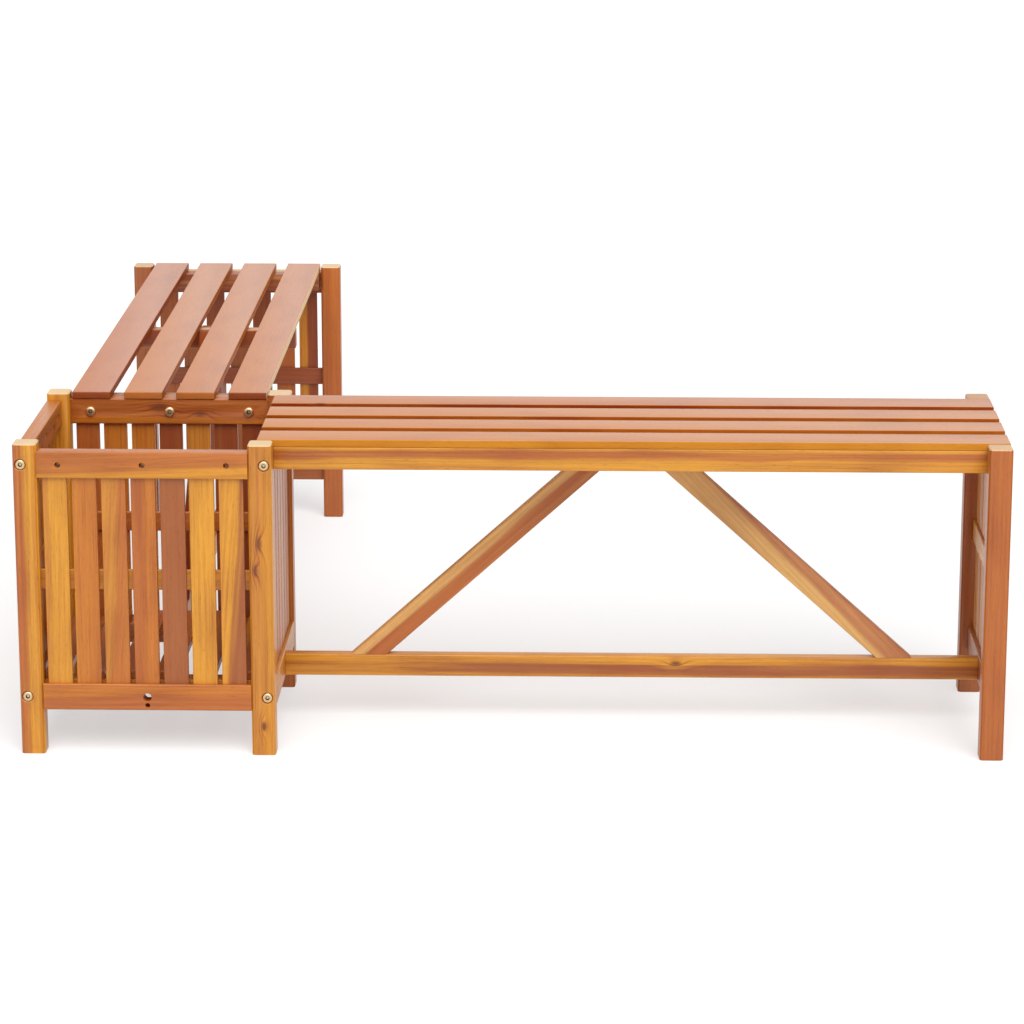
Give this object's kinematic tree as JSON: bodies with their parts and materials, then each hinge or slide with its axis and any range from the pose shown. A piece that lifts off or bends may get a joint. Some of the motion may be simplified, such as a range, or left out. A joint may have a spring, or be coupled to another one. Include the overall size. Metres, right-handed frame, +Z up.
{
  "type": "bench with planter",
  "caption": "Slatted hardwood corner bench: a square planter box in the corner with two benches at a right angle, on braced stretchers and slatted end frames.",
  "frame": {"origin": "on the ground, at the bottom centre of the square that the benches span", "axes": "+Z up, one bench along +X at the front, the other along +Y at the left"},
  "size_m": [1.17, 1.17, 0.38],
  "materials": {
    "frame_hardwood": "satin, oiled",
    "post_hardwood": "satin, oiled",
    "seat_hardwood": "satin, oiled",
    "zinc_plated_steel": "satin"
  },
  "bodies": {
    "root": {"corner_bolts": "zinc_plated_steel", "joining_bolts": "zinc_plated_steel", "left_apron": "frame_hardwood", "left_brace_far": "frame_hardwood", "left_brace_near": "frame_hardwood", "left_cross_rail_far": "frame_hardwood", "left_cross_rail_middle": "frame_hardwood", "left_cross_rail_near": "frame_hardwood", "left_end_batten": "frame_hardwood", "left_end_bottom_rail": "frame_hardwood", "left_end_left_post": "post_hardwood", "left_end_right_post": "post_hardwood", "left_end_slats": "frame_hardwood", "left_end_top_rail": "frame_hardwood", "left_seat_slat_1": "seat_hardwood", "left_seat_slat_2": "seat_hardwood", "left_seat_slat_3": "seat_hardwood", "left_seat_slat_4": "seat_hardwood", "left_stretcher": "frame_hardwood", "planter_back_batten": "frame_hardwood", "planter_back_bottom_rail": "frame_hardwood", "planter_back_ledger": "frame_hardwood", "planter_back_left_post": "post_hardwood", "planter_back_right_post": "post_hardwood", "planter_back_slats": "frame_hardwood", "planter_back_top_rail": "frame_hardwood", "planter_floor_boards": "frame_hardwood", "planter_front_batten": "frame_hardwood", "planter_front_bottom_rail": "frame_hardwood", "planter_front_ledger": "frame_hardwood", "planter_front_left_post": "post_hardwood", "planter_front_right_post": "post_hardwood", "planter_front_slats": "frame_hardwood", "planter_front_top_rail": "frame_hardwood", "planter_left_batten": "frame_hardwood", "planter_left_bottom_rail": "frame_hardwood", "planter_left_slats": "frame_hardwood", "planter_left_top_rail": "frame_hardwood", "planter_right_batten": "frame_hardwood", "planter_right_bottom_rail": "frame_hardwood", "planter_right_slats": "frame_hardwood", "planter_right_top_rail": "frame_hardwood", "right_apron": "frame_hardwood", "right_brace_far": "frame_hardwood", "right_brace_near": "frame_hardwood", "right_cross_rail_far": "frame_hardwood", "right_cross_rail_middle": "frame_hardwood", "right_cross_rail_near": "frame_hardwood", "right_end_back_post": "post_hardwood", "right_end_batten": "frame_hardwood", "right_end_bottom_rail": "frame_hardwood", "right_end_front_post": "post_hardwood", "right_end_slats": "frame_hardwood", "right_end_top_rail": "frame_hardwood", "right_seat_slat_1": "seat_hardwood", "right_seat_slat_2": "seat_hardwood", "right_seat_slat_3": "seat_hardwood", "right_seat_slat_4": "seat_hardwood", "right_stretcher": "frame_hardwood"}
  },
  "joints": []
}
